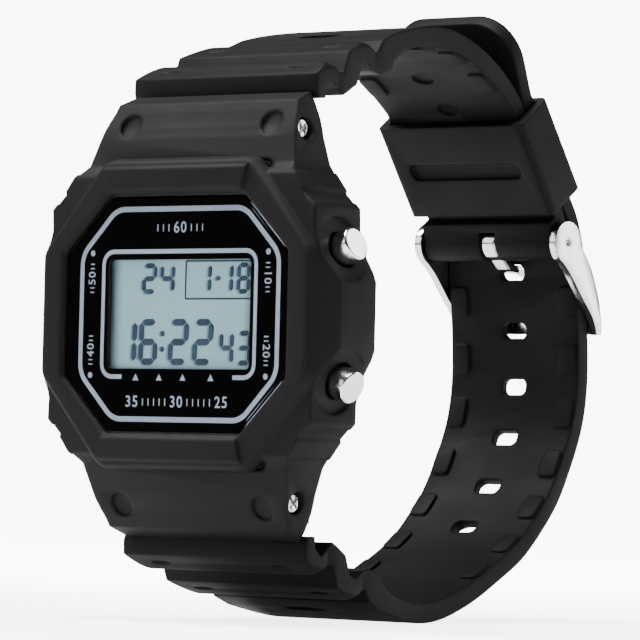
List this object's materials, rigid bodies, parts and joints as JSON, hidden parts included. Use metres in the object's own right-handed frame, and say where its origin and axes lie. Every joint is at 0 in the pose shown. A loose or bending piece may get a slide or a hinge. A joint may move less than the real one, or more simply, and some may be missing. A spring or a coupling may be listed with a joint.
{
  "type": "digital wristwatch",
  "caption": "Digital wristwatch with an octagonal resin bezel, liquid crystal display, push buttons and a ridged rubber strap closed by a metal pin buckle.",
  "frame": {"origin": "centre of the case back's outer face", "axes": "+Z towards 12 o'clock, +X towards 3 o'clock, the dial faces -Y and the strap loops back along +Y"},
  "size_m": [0.0454, 0.07, 0.0724],
  "materials": {
    "bezel_resin": "satin",
    "case_resin": "satin",
    "screw_steel": "polished",
    "crystal_glass": "clear",
    "gasket_rubber": "satin",
    "dial_print": "printed",
    "lcd_glass": "clear",
    "backlight_film": "satin",
    "zebra_rubber": "matt",
    "frame_plastic": "matt",
    "board_laminate": "satin",
    "chip_epoxy": "satin",
    "battery_steel": "brushed",
    "spring_steel": "satin",
    "contact_brass": "satin",
    "piezo_brass": "satin",
    "cushion_rubber": "matt",
    "back_steel": "brushed",
    "bar_steel": "satin",
    "strap_resin": "satin",
    "keeper_resin": "satin",
    "buckle_steel": "polished",
    "pusher_steel": "polished"
  },
  "bodies": {
    "head": {"case_middle": "case_resin", "bezel": "bezel_resin", "crystal": "crystal_glass", "case_back": "back_steel", "spring_bar_12": "bar_steel", "spring_bar_6": "bar_steel", "dial_mask": "dial_print", "lcd_panel": "lcd_glass", "backlight": "backlight_film", "zebra_strips": "zebra_rubber", "module_frame": "frame_plastic", "circuit_board": "board_laminate", "chip": "chip_epoxy", "battery": "battery_steel", "battery_clip": "spring_steel", "contact_springs": "contact_brass", "piezo_disc": "piezo_brass", "buzzer_spring": "spring_steel", "module_cushion": "cushion_rubber", "case_back_gasket": "gasket_rubber", "crystal_gasket": "gasket_rubber", "pusher_seals": "gasket_rubber", "bezel_screws": "screw_steel", "case_back_screws": "screw_steel", "spring_light": "spring_steel", "spring_start": "spring_steel", "spring_reset": "spring_steel", "spring_mode": "spring_steel"},
    "strap_12": {"strap_12": "strap_resin", "buckle_bar": "bar_steel"},
    "keeper": {"keeper": "keeper_resin"},
    "buckle_frame": {"buckle_frame": "buckle_steel"},
    "buckle_prong": {"buckle_prong": "buckle_steel"},
    "strap_6": {"strap_6": "strap_resin"},
    "pusher_light": {"pusher_light": "pusher_steel", "clip_light": "spring_steel"},
    "pusher_start": {"pusher_start": "pusher_steel", "clip_start": "spring_steel"},
    "pusher_reset": {"pusher_reset": "pusher_steel", "clip_reset": "spring_steel"},
    "pusher_mode": {"pusher_mode": "pusher_steel", "clip_mode": "spring_steel"}
  },
  "joints": [
    {"name": "light_press", "type": "slide", "parent": "head", "child": "pusher_light", "axis": [-0.9397, 0, -0.342], "range_m": [0, 0.0008], "stiffness_N_per_m": 600, "springref_m": -0.0004, "deforming": ["spring_light"]},
    {"name": "start_press", "type": "slide", "parent": "head", "child": "pusher_start", "axis": [-0.9397, 0, 0.342], "range_m": [0, 0.0008], "stiffness_N_per_m": 600, "springref_m": -0.0004, "deforming": ["spring_start"]},
    {"name": "reset_press", "type": "slide", "parent": "head", "child": "pusher_reset", "axis": [0.9397, 0, -0.342], "range_m": [0, 0.0008], "stiffness_N_per_m": 600, "springref_m": -0.0004, "deforming": ["spring_reset"]},
    {"name": "mode_press", "type": "slide", "parent": "head", "child": "pusher_mode", "axis": [0.9397, 0, 0.342], "range_m": [0, 0.0008], "stiffness_N_per_m": 600, "springref_m": -0.0004, "deforming": ["spring_mode"]},
    {"name": "strap_12_hinge", "type": "hinge", "parent": "head", "child": "strap_12", "pos_m": [0, -0.0039, 0.0216], "axis": [1, 0, 0], "range_deg": [-0.25, 0.25]},
    {"name": "strap_6_hinge", "type": "hinge", "parent": "head", "child": "strap_6", "pos_m": [0, -0.0039, -0.0216], "axis": [1, 0, 0], "range_deg": [-0.25, 0.25]},
    {"name": "keeper_slide", "type": "slide", "parent": "strap_12", "child": "keeper", "axis": [0, 0.5764, -0.8171], "range_m": [-0.001, 0.001]},
    {"name": "buckle_hinge", "type": "hinge", "parent": "strap_12", "child": "buckle_frame", "pos_m": [0, 0.04779, 0.01091], "axis": [1, 0, 0], "range_deg": [-0.8, 0.8]},
    {"name": "prong_hinge", "type": "hinge", "parent": "strap_12", "child": "buckle_prong", "pos_m": [0, 0.04779, 0.01091], "axis": [1, 0, 0], "range_deg": [-0.8, 1.2]}
  ],
  "couplings": [
    {"joint": "strap_6_hinge", "follows": "strap_12_hinge", "ratio": 1}
  ]
}
